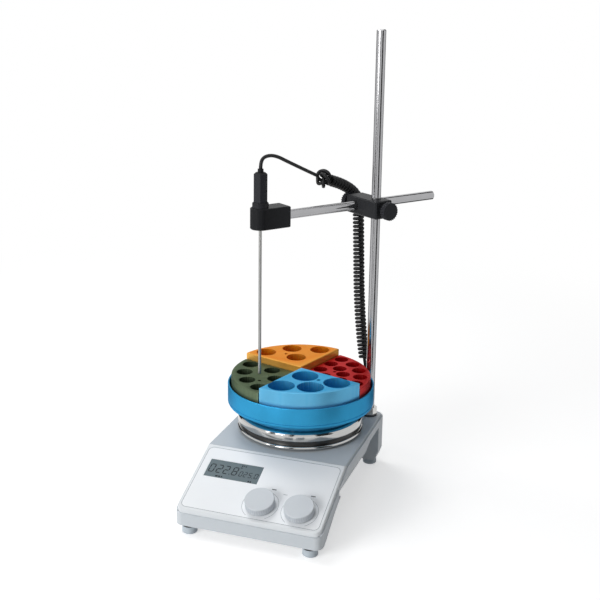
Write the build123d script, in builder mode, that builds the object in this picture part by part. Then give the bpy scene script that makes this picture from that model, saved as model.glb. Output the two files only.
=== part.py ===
from build123d import *
from math import cos, radians, sin, tan
import os

os.makedirs("parts", exist_ok=True)

# Hotplate magnetic stirrer with a vial tray and a probe stand, in millimetres.
# X points to the right, Y to the back and Z up. The origin lies on the table, midway between the four feet.

# Housing
base_width = 151.0
base_depth = 232.4
top_z = 59.2
cover_thickness = 2.4
cover_inset = 1.2
bezel_thickness = 4.0
panel_angle = 21.5
panel_run = 83.2
wall = 2.5
skirt_z = 9.5
band_z = 49.0
flank_z = 36.0
flank_draft = 4.0
flank_knee_drop = 7.5
flank_toe = 12.2
flank_ramp_back = 64.2
flank_ramp_knee = 46.2
belly_z = 27.0
belly_side_margin = 13.5
belly_toe = 17.2
belly_toe_rise = 9.0
belly_ramp_back = 52.2
corner_radius = 8.0
panel_fit = 0.2
vent_count = 6
vent_pitch = 9.8
vent_offset = 0.5
vent_z = 42.5
vent_length = 7.6
vent_slot = 1.7

# Rear legs and the grip pockets before them
leg_width = 23.0
leg_depth = 23.2
pocket_depth = 12.0
pocket_length = 36.0
leg_corner = 11.0

# Hatch under the belly and its screws
hatch_side_margin = 8.0
hatch_front_margin = 62.2
hatch_rear_margin = 26.2
hatch_thickness = 1.2
hatch_gap = 0.3
hatch_lip = 6.0
hatch_screw_inset = 3.5
hatch_screw_radius = 1.5

# Feet
foot_radius = 7.6
foot_height = 7.2
foot_inset_x = 13.0
foot_inset_y = 8.7

# Hotplate
plate_rear_margin = 4.1
plate_radius = 67.5
plate_top_z = 79.4
plate_thickness = 9.2
neck_radius = 63.5
ring_height = 4.1
ring_gap = 1.5
skirt_sheet = 1.2

# Tray and quarter blocks
tray_radius = 78.4
tray_height = 31.4
tray_wall = 1.8
tray_floor = 13.7
tray_foot_radius = 60.5
tray_shoulder = 12.6
block_radius = 74.5
block_gap = 0.7
block_low = 26.8
block_high = 33.6
block_turn = 73.3
probe_bore_depth = 22.0
probe_bore_gap = 0.4
bore_running_gap = 0.05
press_gap = 0.02

# Panel parts, placed from the panel's right or left edge and down its slope
overlay_margin = 4.5
overlay_thickness = 0.4
overlay_gap = 0.2
overlay_corner = 5.5
overlay_shift = 0.6
display_width = 57.5
display_height = 23.5
display_inset = 41.0
display_s = -30.75
knob_radius = 14.8
knob_height = 7.6
knob_s = -66.5
knob_insets = (68.7, 28.4)
knob_gap = 0.7
knob_travel = 0.6
flute_count = 40
encoder_size = 12.5
shaft_radius = 3.0
board_drop = 9.6
board_thickness = 1.6
board_side_margin = 7.5
board_s = -44.0
board_length = 70.0
pillar_height = 7.0
pillar_inset = 8.0
power_board_depth = 54.0
power_board_front = 67.2

# Stirring drive
bracket_depth = 40.0
bracket_thickness = 2.0
motor_radius = 26.0
motor_height = 12.5
motor_shaft_radius = 2.5
carrier_length = 72.0
carrier_width = 20.0
carrier_thickness = 2.8
magnet_radius = 8.5
magnet_reach = 25.0
magnet_height = 3.2

# Rear connections
connection_z = 42.0
inlet_inset = 37.5
inlet_width = 27.0
inlet_height = 19.5
inlet_depth = 18.0
flange = 2.0
switch_width = 19.0
switch_height = 13.0
switch_depth = 12.0
rocker_drop = 0.8
rocker_hub = 2.4
socket_inset = 39.5
socket_radius = 6.0
socket_nut = 8.2
plug_radius = 6.4
plug_body = 13.0
plug_taper = 9.0

# Stand
rod_inset_x = 13.5
rod_inset_y = 13.9
rod_radius = 5.0
rod_length = 447.0
rod_foot_z = 34.2
insert_wall = 1.5
nut_height = 8.0
washer_radius = 8.2
washer_height = 2.2
arm_turn = 53.6
arm_z = 294.8
arm_offset = 21.6
arm_reach = 132.2
arm_tail = 98.0
arm_socket = 14.0
boss_height = 19.0
boss_width = 22.0
boss_rod_side = 13.5
boss_arm_side = 16.0
holder_height = 22.0
holder_width = 21.0
holder_length = 40.5
thumb_radius = 9.5
thumb_thickness = 6.0
thumb_neck = 5.0
thumb_gap = 0.3
screw_radius = 3.0

# Probe
probe_radius = 1.6
probe_tip_z = 127.2
collar_radius = 8.4
collar_height = 5.5
handle_across = 12.8
handle_height = 30.6
handle_socket = 6.0
handle_neck_radius = 3.0
neck_height = 3.5

# Probe cable
cable_diameter = 3.0
coil_diameter = 13.0
clump_radius = 11.0
clump_aside = 46.0
clump_along = -36.0
clump_rise = 27.7
coil_along = 18.0
coil_aside = 52.0
coil_drop = 26.8
coil_bend_rise = 41.2
coil_end_rise = 1.2

# Worked out from the sizes above
half_width = base_width / 2
front_y = -base_depth / 2
rear_y = base_depth / 2
crease_y = front_y + panel_run
pocket_back_y = rear_y - leg_depth
pocket_front_y = pocket_back_y - pocket_length
plate_y = rear_y - plate_radius - plate_rear_margin
rod_x = half_width - rod_inset_x
rod_y = rear_y - rod_inset_y
foot_x = half_width - foot_inset_x
foot_y = rear_y - foot_inset_y
belly_half_width = half_width - belly_side_margin
display_x = -half_width + display_inset
knob_x = [half_width - inset for inset in knob_insets]
inlet_x = -half_width + inlet_inset
socket_x = half_width - socket_inset
switch_x = (inlet_x + inlet_width / 2 + flange + socket_x - socket_nut) / 2
slope = tan(radians(panel_angle))
cover_z = top_z - cover_thickness
bezel_drop = bezel_thickness / cos(radians(panel_angle))
panel_front_z = top_z + (front_y - crease_y) * slope
seam_y = crease_y + (bezel_drop - cover_thickness) / slope
panel_length = panel_run / cos(radians(panel_angle))
floor_z = belly_z + wall
flank_knee_z = flank_z - flank_knee_drop
hatch_width = 2 * (belly_half_width - hatch_side_margin)
hatch_front_y = front_y + hatch_front_margin
hatch_back_y = rear_y - hatch_rear_margin
hatch_y = (hatch_front_y + hatch_back_y) / 2
hatch_length = hatch_back_y - hatch_front_y
hatch_screw_x = hatch_width / 2 - hatch_screw_inset
hatch_screw_y = (hatch_front_y + 6, hatch_back_y - 7)
hatch_screws = [(x, y) for x in (-hatch_screw_x, hatch_screw_x) for y in hatch_screw_y]
pillar_x = belly_half_width - pillar_inset
board_pillars = [(x, y) for x in (-pillar_x, pillar_x) for y in (front_y + 72.2, front_y + 116.2)]
tray_floor_z = plate_top_z + tray_floor
tray_top_z = plate_top_z + tray_height
panel = Plane(
    origin=(0, crease_y, top_z),
    x_dir=(1, 0, 0),
    z_dir=(0, -sin(radians(panel_angle)), cos(radians(panel_angle))),
)
arm_dir = Vector(cos(radians(arm_turn)), sin(radians(arm_turn)), 0)
side_dir = Vector(arm_dir.Y, -arm_dir.X, 0)


def save(piece, name):
    """Labels one finished piece and writes it as a STEP file."""
    piece.part.label = name
    export_step(piece.part, f"parts/{name}.step")


def stand_point(aside, along, z):
    """A point by its distance from the rod: aside to the left of the arm, along the arm, and its height."""
    return Vector(rod_x, rod_y, z) - side_dir * aside + arm_dir * along


def stand_plane(aside, along, z):
    """A plane on the stand whose X runs along the arm and whose Z points up."""
    return Plane(origin=stand_point(aside, along, z), x_dir=arm_dir, z_dir=(0, 0, 1))


# LOWER HOUSING: a moulding open at the top, with drafted flanks, a deeper middle, side pockets and rear legs
flank_profile = [
    (front_y, skirt_z),
    (front_y, panel_front_z - bezel_drop),
    (seam_y, cover_z),
    (rear_y, cover_z),
    (rear_y, flank_z),
    (front_y + flank_ramp_back, flank_z),
    (front_y + flank_ramp_knee, flank_knee_z),
    (front_y + flank_toe, skirt_z),
]
belly_profile = [
    (front_y + wall * 2, skirt_z),
    (front_y + belly_toe, skirt_z),
    (front_y + belly_toe + 6, skirt_z + belly_toe_rise),
    (front_y + belly_ramp_back, belly_z),
    (rear_y, belly_z),
    (rear_y, flank_z + wall),
    (front_y + flank_ramp_back - 4, flank_z + wall),
    (front_y + wall * 2, skirt_z + wall),
]
flank_hollow = [
    (front_y + wall, skirt_z + wall),
    (front_y + wall, top_z + wall),
    (rear_y - wall, top_z + wall),
    (rear_y - wall, flank_z + wall),
    (front_y + flank_ramp_back - 1, flank_z + wall),
    (front_y + flank_ramp_knee - 1, flank_knee_z + wall),
    (front_y + flank_toe + 1, skirt_z + wall),
]
belly_hollow = [
    (front_y + wall * 3, skirt_z + wall),
    (front_y + belly_toe - 1, skirt_z + wall),
    (front_y + belly_toe + 5, skirt_z + belly_toe_rise + wall),
    (front_y + belly_ramp_back, floor_z),
    (rear_y - wall, floor_z),
    (rear_y - wall, flank_z + 2 * wall),
    (front_y + flank_ramp_back - 4, flank_z + 2 * wall),
    (front_y + wall * 3, skirt_z + 2 * wall),
]


def slab(profile, half):
    """A side profile in Y and Z, drawn out to half on both sides."""
    with BuildSketch(Plane.YZ) as outline:
        with BuildLine():
            Polyline(*profile, close=True)
        make_face()
    extrude(outline.sketch, amount=half, both=True)


def trim_flanks(inset):
    """Cuts both flanks to their draft below the band, inset from the outer surface."""
    edge = half_width - inset
    for side in (-1, 1):
        with BuildSketch(Plane.XZ.offset(-pocket_front_y - wall)) as draft:
            with BuildLine():
                Polyline(
                    (side * (half_width + 1), band_z),
                    (side * edge, band_z),
                    (side * (edge - flank_draft), flank_z),
                    (side * (half_width + 1), flank_z),
                    close=True,
                )
            make_face()
        extrude(draft.sketch, amount=pocket_front_y - front_y - flank_ramp_back + 8, mode=Mode.SUBTRACT)


def trim_pockets(grow):
    """Cuts the grip pockets, grown on every side by the given amount."""
    with BuildSketch(Plane.XY) as pockets:
        for side in (-1, 1):
            with Locations((side * half_width, (pocket_front_y + pocket_back_y) / 2)):
                Rectangle(2 * (pocket_depth + grow), pocket_back_y - pocket_front_y + 2 * grow)
    extrude(pockets.sketch, amount=band_z + grow, mode=Mode.SUBTRACT)


with BuildPart() as cavity:
    slab(flank_hollow, half_width - wall)
    trim_flanks(wall)
    slab(belly_hollow, belly_half_width - wall)
    trim_pockets(wall)

with BuildPart() as lower_housing:
    slab(flank_profile, half_width)
    trim_flanks(0)
    slab(belly_profile, belly_half_width)
    trim_pockets(0)
    add(cavity.part, mode=Mode.SUBTRACT)
    # Rear legs, cut back at their outer lower corners
    for side in (-1, 1):
        with BuildSketch(Plane.XZ.offset(-rear_y)):
            with BuildLine():
                Polyline(
                    (side * (half_width - leg_width), flank_z + wall),
                    (side * (half_width - leg_width), skirt_z),
                    (side * (half_width - 4), skirt_z),
                    (side * half_width, skirt_z + leg_corner),
                    (side * half_width, flank_z + wall),
                    close=True,
                )
            make_face()
        extrude(amount=rear_y - pocket_back_y)
    upright = lower_housing.edges().filter_by(Axis.Z)
    fillet(upright.group_by(Axis.Y)[0], corner_radius)
    outer_rear = lower_housing.edges().filter_by(Axis.Z).group_by(Axis.Y)[-1]
    fillet([e for e in outer_rear if abs(e.center().X) > half_width - 0.1], corner_radius - 1)
    # Pads over the front feet
    with BuildSketch(Plane.XY.offset(skirt_z)):
        with Locations((-foot_x, -foot_y), (foot_x, -foot_y)):
            Circle(foot_radius + 0.6)
    extrude(amount=4)
    # Boss for the rod's threaded insert
    with BuildSketch(Plane.XY.offset(belly_z)):
        with Locations((rod_x, rod_y)):
            Circle(rod_radius + insert_wall + wall)
    extrude(amount=cover_z - belly_z)
    with BuildSketch(Plane.XY.offset(floor_z + 2)):
        with Locations((rod_x, rod_y)):
            Circle(rod_radius + insert_wall + bore_running_gap)
    extrude(amount=cover_z - floor_z - 2, mode=Mode.SUBTRACT)
    # Pillars for the power board
    with BuildSketch(Plane.XY.offset(belly_z)):
        with Locations(*board_pillars):
            Circle(3.4)
    extrude(amount=pillar_height)
    # Opening for the bottom cover, with a rebate round it
    with BuildSketch(Plane.XY.offset(belly_z)):
        with Locations((0, hatch_y)):
            Rectangle(hatch_width - 2 * hatch_lip, hatch_length - 2 * hatch_lip)
    extrude(amount=wall, mode=Mode.SUBTRACT)
    with BuildSketch(Plane.XY.offset(belly_z)):
        with Locations((0, hatch_y)):
            RectangleRounded(hatch_width, hatch_length, 4)
    extrude(amount=hatch_thickness, mode=Mode.SUBTRACT)
    # Openings in the rear wall for the inlet, the switch and the probe socket
    with BuildSketch(Plane.XZ.offset(-rear_y - 1)):
        with Locations((inlet_x, connection_z)):
            Rectangle(inlet_width + 2 * panel_fit, inlet_height + 2 * panel_fit)
        with Locations((switch_x, connection_z)):
            Rectangle(switch_width + 2 * panel_fit, switch_height + 2 * panel_fit)
        with Locations((socket_x, connection_z)):
            Circle(socket_radius + bore_running_gap)
    extrude(amount=wall + 2, mode=Mode.SUBTRACT)
    # Slanted vents in each flank
    with BuildSketch(Plane.YZ.offset(-half_width - 1)):
        for k in range(vent_count):
            with Locations((crease_y - vent_offset + vent_pitch * k, vent_z)):
                SlotCenterToCenter(vent_length, vent_slot, rotation=60)
    extrude(amount=2 * half_width + 2, mode=Mode.SUBTRACT)
save(lower_housing, "lower_housing")

# BOTTOM COVER and its four screws
with BuildPart() as bottom_cover:
    with BuildSketch(Plane.XY.offset(belly_z)):
        with Locations((0, hatch_y)):
            RectangleRounded(hatch_width - 2 * hatch_gap, hatch_length - 2 * hatch_gap, 4 - hatch_gap)
        with Locations(*hatch_screws):
            Circle(hatch_screw_radius + panel_fit, mode=Mode.SUBTRACT)
        with Locations((0, hatch_back_y - 30)):
            with GridLocations(9, 0, 7, 1):
                SlotOverall(30, 3, rotation=90, mode=Mode.SUBTRACT)
    extrude(amount=hatch_thickness)
save(bottom_cover, "bottom_cover")

with BuildPart() as hatch_screw_set:
    with BuildSketch(Plane.XY.offset(belly_z - 1.6)):
        with Locations(*hatch_screws):
            Circle(2.8)
    extrude(amount=1.6)
    with BuildSketch(Plane.XY.offset(belly_z)):
        with Locations(*hatch_screws):
            Circle(hatch_screw_radius)
    extrude(amount=hatch_thickness)
save(hatch_screw_set, "bottom_cover_screws")

# FEET with their dark rings
foot_places = [(x, y) for x in (-foot_x, foot_x) for y in (-foot_y, foot_y)]
with BuildPart() as feet:
    for place in foot_places:
        with BuildSketch(Plane.XY):
            with Locations(place):
                Circle(foot_radius)
        extrude(amount=foot_height)
    chamfer(feet.edges().group_by(Axis.Z)[0], 0.8)
save(feet, "feet")

with BuildPart() as foot_rings:
    for place in foot_places:
        with BuildSketch(Plane.XY.offset(foot_height)):
            with Locations(place):
                Circle(foot_radius - 0.7)
        extrude(amount=skirt_z - foot_height)
save(foot_rings, "foot_rings")

# TOP COVER: a flat plate with rounded rear corners and softened rim
with BuildPart() as top_cover:
    with BuildSketch(Plane.YZ):
        with BuildLine():
            Polyline(
                (crease_y + overlay_gap, top_z),
                (seam_y + overlay_gap, cover_z),
                (rear_y - cover_inset, cover_z),
                (rear_y - cover_inset, top_z),
                close=True,
            )
        make_face()
    extrude(amount=half_width - cover_inset, both=True)
    fillet(top_cover.edges().filter_by(Axis.Z).group_by(Axis.Y)[-1], corner_radius - 1)
    rim = top_cover.faces().sort_by(Axis.Z)[-1].edges()
    fillet([e for e in rim if e.center().Y > crease_y + 1], 1.2)
    with BuildSketch(Plane.XY.offset(cover_z)):
        with Locations((rod_x, rod_y)):
            Circle(rod_radius + bore_running_gap)
        with Locations((0, plate_y - 30)):
            SlotOverall(26, 8)
    extrude(amount=cover_thickness, mode=Mode.SUBTRACT)
save(top_cover, "top_cover")

# FRONT BEZEL: the sloping frame of the panel, with posts for the control board
post_x = half_width - board_side_margin - 4
board_posts = [(x, s) for x in (-post_x, post_x) for s in (board_s - 32, board_s + 32)]
with BuildPart() as front_bezel:
    with BuildSketch(Plane.YZ):
        with BuildLine():
            Polyline(
                (crease_y, top_z),
                (front_y + cover_inset, top_z + (front_y + cover_inset - crease_y) * slope),
                (front_y + cover_inset, panel_front_z - bezel_drop + cover_inset * slope),
                (seam_y, cover_z),
                close=True,
            )
        make_face()
    extrude(amount=half_width - cover_inset, both=True)
    fillet(front_bezel.edges().filter_by(Axis.Z), corner_radius - 1)
    top_rim = front_bezel.faces().sort_by(Axis((0, 0, 0), panel.z_dir))[-1].edges()
    fillet([e for e in top_rim if e.center().Y < crease_y - 1], 1.4)
    with BuildSketch(panel.offset(-overlay_thickness)):
        with Locations((0, -panel_length / 2 + overlay_shift)):
            RectangleRounded(
                base_width - 2 * overlay_margin,
                panel_length - 2 * overlay_margin + 2 * overlay_shift,
                overlay_corner,
            )
    extrude(amount=overlay_thickness + 1, mode=Mode.SUBTRACT)
    with BuildSketch(panel.offset(-bezel_thickness - 1)):
        with Locations((display_x, display_s)):
            Rectangle(display_width + 0.2, display_height + 0.2)
        for x in knob_x:
            with Locations((x, knob_s)):
                Circle(shaft_radius + 1)
    extrude(amount=bezel_thickness + 2, mode=Mode.SUBTRACT)
    with BuildSketch(panel.offset(-board_drop)):
        with Locations(*board_posts):
            Circle(2.5)
    extrude(amount=board_drop - bezel_thickness + 0.5)
save(front_bezel, "front_bezel")

# PANEL OVERLAY: the printed film in the bezel's recess
with BuildPart() as panel_overlay:
    with BuildSketch(panel.offset(-overlay_thickness)):
        with Locations((0, -panel_length / 2 + overlay_shift)):
            RectangleRounded(
                base_width - 2 * (overlay_margin + overlay_gap),
                panel_length - 2 * (overlay_margin + overlay_gap) + 2 * overlay_shift,
                overlay_corner - overlay_gap,
            )
        with Locations((display_x, display_s)):
            Rectangle(display_width, display_height, mode=Mode.SUBTRACT)
        for x in knob_x:
            with Locations((x, knob_s)):
                Circle(shaft_radius + 0.6, mode=Mode.SUBTRACT)
    extrude(amount=overlay_thickness)
save(panel_overlay, "panel_overlay")

with BuildPart() as display_window:
    with BuildSketch(panel.offset(-2)):
        with Locations((display_x, display_s)):
            Rectangle(display_width - 0.3, display_height - 0.3)
    extrude(amount=1.8)
save(display_window, "display_window")

with BuildPart() as display_module:
    with BuildSketch(panel.offset(-board_drop)):
        with Locations((display_x, display_s)):
            Rectangle(display_width + 6, display_height + 6)
    extrude(amount=board_drop - bezel_thickness - 0.2)
    with BuildSketch(panel.offset(-bezel_thickness - 0.2)):
        with Locations((display_x, display_s)):
            Rectangle(display_width - 1, display_height - 1)
    extrude(amount=bezel_thickness - 2)
save(display_module, "display_module")

with BuildPart() as control_board:
    with BuildSketch(panel.offset(-board_drop - board_thickness)):
        with Locations((0, board_s)):
            Rectangle(base_width - 2 * board_side_margin, board_length)
    extrude(amount=board_thickness)
save(control_board, "control_board")

# ENCODERS with their push plungers, shafts and fluted knobs
with BuildPart() as encoder_bodies:
    for x in knob_x:
        with BuildSketch(panel.offset(-board_drop)):
            with Locations((x, knob_s)):
                Rectangle(encoder_size, encoder_size)
                Circle(shaft_radius + bore_running_gap, mode=Mode.SUBTRACT)
        extrude(amount=board_drop - bezel_thickness - 0.2)
        with BuildSketch(panel.offset(-board_drop)):
            with Locations((x, knob_s)):
                Rectangle(encoder_size - 2, encoder_size - 2)
        extrude(amount=1.6, mode=Mode.SUBTRACT)
save(encoder_bodies, "encoder_bodies")

for name, x in zip(("left", "right"), knob_x):
    with BuildPart() as plunger:
        with BuildSketch(panel.offset(-board_drop + knob_travel + 0.1)):
            with Locations((x, knob_s)):
                Circle(2.2)
        extrude(amount=1)
    save(plunger, f"encoder_plunger_{name}")

    with BuildPart() as shaft:
        with BuildSketch(panel.offset(-board_drop + knob_travel + 1.1)):
            with Locations((x, knob_s)):
                Circle(shaft_radius)
        extrude(amount=board_drop - knob_travel - 1.1 + knob_gap + 5)
    save(shaft, f"encoder_shaft_{name}")

    with BuildPart() as knob:
        with BuildSketch(panel.offset(knob_gap)):
            with Locations((x, knob_s)):
                Circle(knob_radius)
        extrude(amount=knob_height)
        chamfer(knob.faces().sort_by(Axis((0, 0, 0), panel.z_dir))[-1].edges(), 0.5)
        with BuildSketch(panel.offset(knob_gap)):
            with Locations((x, knob_s)):
                with PolarLocations(knob_radius, flute_count):
                    Rectangle(0.9, 1.1)
        extrude(amount=knob_height - 0.9, mode=Mode.SUBTRACT)
        with BuildSketch(panel.offset(knob_gap)):
            with Locations((x, knob_s)):
                Circle(knob_radius - 3)
                Circle(shaft_radius + 2, mode=Mode.SUBTRACT)
        extrude(amount=knob_height - 2.4, mode=Mode.SUBTRACT)
        with BuildSketch(panel.offset(knob_gap)):
            with Locations((x, knob_s)):
                Circle(shaft_radius + press_gap)
        extrude(amount=5.02, mode=Mode.SUBTRACT)
    save(knob, f"knob_{name}")

# POWER BOARD on its pillars
power_board_y = front_y + power_board_front + power_board_depth / 2
with BuildPart() as power_board:
    with BuildSketch(Plane.XY.offset(belly_z + pillar_height)):
        with Locations((0, power_board_y)):
            Rectangle(2 * (pillar_x + 4), power_board_depth)
    extrude(amount=board_thickness)
    with BuildSketch(Plane.XY.offset(belly_z + pillar_height + board_thickness)):
        with Locations((-pillar_x / 2, power_board_y + 8)):
            Rectangle(28, 24)
        with Locations((pillar_x / 5, power_board_y + 8)):
            Rectangle(16, 26)
        with Locations((pillar_x * 0.7, power_board_y + 8)):
            Circle(7)
    extrude(amount=8)
save(power_board, "power_board")

# STIRRING DRIVE: bracket, motor, shaft, carrier and two magnets
motor_z = floor_z + bracket_thickness
with BuildPart() as motor_bracket:
    with BuildSketch(Plane.XY.offset(floor_z)):
        with Locations((0, plate_y)):
            RectangleRounded(2 * (pillar_x + 4), bracket_depth, 5)
        with Locations((0, plate_y)):
            Circle(6, mode=Mode.SUBTRACT)
    extrude(amount=bracket_thickness)
save(motor_bracket, "motor_bracket")

with BuildPart() as motor:
    with BuildSketch(Plane.XY.offset(motor_z)):
        with Locations((0, plate_y)):
            Circle(motor_radius)
            Circle(motor_shaft_radius + bore_running_gap, mode=Mode.SUBTRACT)
    extrude(amount=motor_height)
    fillet(motor.faces().sort_by(Axis.Z)[-1].edges().sort_by(SortBy.RADIUS)[-1], 1.5)
save(motor, "motor")

with BuildPart() as motor_shaft:
    with BuildSketch(Plane.XY.offset(motor_z + 0.3)):
        with Locations((0, plate_y)):
            Circle(motor_shaft_radius)
    extrude(amount=motor_height + 3.7)
save(motor_shaft, "motor_shaft")

carrier_z = motor_z + motor_height + 1.0
with BuildPart() as magnet_carrier:
    with BuildSketch(Plane.XY.offset(carrier_z)):
        with Locations((0, plate_y)):
            SlotOverall(carrier_length, carrier_width)
            Circle(motor_shaft_radius + press_gap, mode=Mode.SUBTRACT)
    extrude(amount=carrier_thickness)
save(magnet_carrier, "magnet_carrier")

with BuildPart() as magnets:
    with BuildSketch(Plane.XY.offset(carrier_z + carrier_thickness)):
        with Locations((-magnet_reach, plate_y), (magnet_reach, plate_y)):
            Circle(magnet_radius)
    extrude(amount=magnet_height)
save(magnets, "magnets")

# REAR CONNECTIONS: mains inlet, rocker switch and probe socket
with BuildPart() as mains_inlet:
    with BuildSketch(Plane.XZ.offset(-rear_y)):
        with Locations((inlet_x, connection_z)):
            RectangleRounded(inlet_width + 2 * flange, inlet_height + 2 * flange, 2)
    extrude(amount=-flange)
    with BuildSketch(Plane.XZ.offset(-rear_y)):
        with Locations((inlet_x, connection_z)):
            Rectangle(inlet_width, inlet_height)
    extrude(amount=inlet_depth)
    with BuildSketch(Plane.XZ.offset(-rear_y - flange)):
        with Locations((inlet_x, connection_z)):
            RectangleRounded(inlet_width - 3, inlet_height - 3, 3)
    extrude(amount=inlet_depth - 2, mode=Mode.SUBTRACT)
    with BuildSketch(Plane.XZ.offset(-rear_y + inlet_depth - 4)):
        with Locations((inlet_x - 7, connection_z - 1.5), (inlet_x + 7, connection_z - 1.5)):
            Rectangle(2, 4)
        with Locations((inlet_x, connection_z + 2.5)):
            Rectangle(2, 4)
    extrude(amount=-12)
save(mains_inlet, "mains_inlet")

with BuildPart() as switch_frame:
    with BuildSketch(Plane.XZ.offset(-rear_y)):
        with Locations((switch_x, connection_z)):
            RectangleRounded(switch_width + 3, switch_height + 3, 1.5)
    extrude(amount=-1.6)
    with BuildSketch(Plane.XZ.offset(-rear_y)):
        with Locations((switch_x, connection_z)):
            Rectangle(switch_width, switch_height)
    extrude(amount=switch_depth)
    with BuildSketch(Plane.XZ.offset(-rear_y - 1.6)):
        with Locations((switch_x, connection_z)):
            Rectangle(switch_width - 2.6, switch_height - 2.4)
    extrude(amount=switch_depth - 2, mode=Mode.SUBTRACT)
save(switch_frame, "switch_frame")

rocker_y = rear_y - 1.5
rocker_height = 9.8
with BuildPart() as rocker:
    with BuildSketch(Plane.XY.offset(connection_z - rocker_height / 2)):
        with BuildLine():
            Polyline(
                (switch_x - 6.8, rocker_y + 4.5),
                (switch_x, rocker_y + 2.8),
                (switch_x + 6.8, rocker_y + 1.1),
                (switch_x + 6.5, rocker_y - 2.4),
                (switch_x - 6.5, rocker_y - 2.4),
                close=True,
            )
        make_face()
        with Locations((switch_x, rocker_y - rocker_drop)):
            Circle(rocker_hub)
    extrude(amount=rocker_height)
save(rocker, "switch_rocker")

with BuildPart() as probe_socket:
    with BuildSketch(Plane.XZ.offset(-rear_y)):
        with Locations((socket_x, connection_z)):
            RegularPolygon(socket_nut, 6)
    extrude(amount=-3)
    with BuildSketch(Plane.XZ.offset(-rear_y)):
        with Locations((socket_x, connection_z)):
            Circle(socket_radius)
    extrude(amount=14)
save(probe_socket, "probe_socket")

plug_y = rear_y + 3.0
plug_end_y = plug_y + plug_body + plug_taper
with BuildPart() as probe_plug:
    with BuildSketch(Plane.XZ.offset(-plug_y)):
        with Locations((socket_x, connection_z)):
            Circle(plug_radius)
    extrude(amount=-plug_body)
    with BuildSketch(Plane.XZ.offset(-plug_y - plug_body)) as wide:
        with Locations((socket_x, connection_z)):
            Circle(4.6)
    with BuildSketch(Plane.XZ.offset(-plug_end_y)) as narrow:
        with Locations((socket_x, connection_z)):
            Circle(2.2)
    loft([wide.sketch, narrow.sketch])
save(probe_plug, "probe_plug")

# HOTPLATE: polished disc over a skirt with a neck and a rolled lower ring
plate_low_z = plate_top_z - plate_thickness
ring_z = top_z + ring_gap
with BuildPart() as hotplate:
    with BuildSketch(Plane.XY.offset(plate_low_z)):
        with Locations((0, plate_y)):
            Circle(plate_radius)
    extrude(amount=plate_thickness)
    fillet(hotplate.edges().group_by(Axis.Z)[-1], 3.2)
    fillet(hotplate.edges().group_by(Axis.Z)[0], 1)
    with BuildSketch(Plane.XY.offset(plate_low_z)):
        with Locations((0, plate_y)):
            Circle(neck_radius - 2)
    extrude(amount=3.2, mode=Mode.SUBTRACT)
save(hotplate, "hotplate")

with BuildPart() as plate_skirt:
    with BuildSketch(Plane.XZ):
        with BuildLine():
            Polyline(
                (20, ring_z + ring_height - skirt_sheet),
                (neck_radius - skirt_sheet, ring_z + ring_height - skirt_sheet),
                (neck_radius - skirt_sheet, ring_z),
                (plate_radius - 1.2, ring_z),
                (plate_radius, ring_z + 1.2),
                (plate_radius, ring_z + ring_height - 1.2),
                (plate_radius - 1.2, ring_z + ring_height),
                (neck_radius, ring_z + ring_height),
                (neck_radius, plate_low_z),
                (neck_radius - skirt_sheet, plate_low_z),
                (neck_radius - skirt_sheet, ring_z + ring_height),
                (20, ring_z + ring_height),
                close=True,
            )
        make_face()
    revolve(axis=Axis.Z)
plate_skirt.part = plate_skirt.part.moved(Location((0, plate_y, 0)))
save(plate_skirt, "plate_skirt")

with BuildPart() as insulation_disc:
    with BuildSketch(Plane.XY.offset(ring_z + ring_height)):
        with Locations((0, plate_y)):
            Circle(neck_radius - 4)
            Circle(20, mode=Mode.SUBTRACT)
    extrude(amount=plate_low_z - ring_z - ring_height + 1.2)
save(insulation_disc, "insulation_disc")

with BuildPart() as heater_disc:
    with BuildSketch(Plane.XY.offset(plate_low_z + 1.2)):
        with Locations((0, plate_y)):
            Circle(neck_radius - 4)
            Circle(6, mode=Mode.SUBTRACT)
    extrude(amount=2.0)
save(heater_disc, "heater_disc")

with BuildPart() as plate_standoffs:
    with BuildSketch(Plane.XY.offset(top_z)):
        with Locations((0, plate_y)):
            with PolarLocations(44, 4, 45):
                Circle(4)
    extrude(amount=ring_z + ring_height - skirt_sheet - top_z)
save(plate_standoffs, "plate_standoffs")

# TRAY: a turned dish with a tapered underside, a fine groove and a thin rim
with BuildPart() as tray:
    with BuildSketch(Plane.XZ):
        with BuildLine():
            Polyline(
                (0, plate_top_z),
                (tray_foot_radius, plate_top_z),
                (tray_foot_radius + 1.5, plate_top_z + 1.2),
                (tray_radius, plate_top_z + tray_shoulder),
                (tray_radius, plate_top_z + tray_shoulder + 0.8),
                (tray_radius - 0.5, plate_top_z + tray_shoulder + 1.1),
                (tray_radius, plate_top_z + tray_shoulder + 1.4),
                (tray_radius, tray_top_z - 0.5),
                (tray_radius - 0.5, tray_top_z),
                (tray_radius - tray_wall, tray_top_z),
                (tray_radius - tray_wall, tray_floor_z),
                (0, tray_floor_z),
                close=True,
            )
        make_face()
    revolve(axis=Axis.Z)
tray.part = tray.part.moved(Location((0, plate_y, 0)))
save(tray, "tray")

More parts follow.
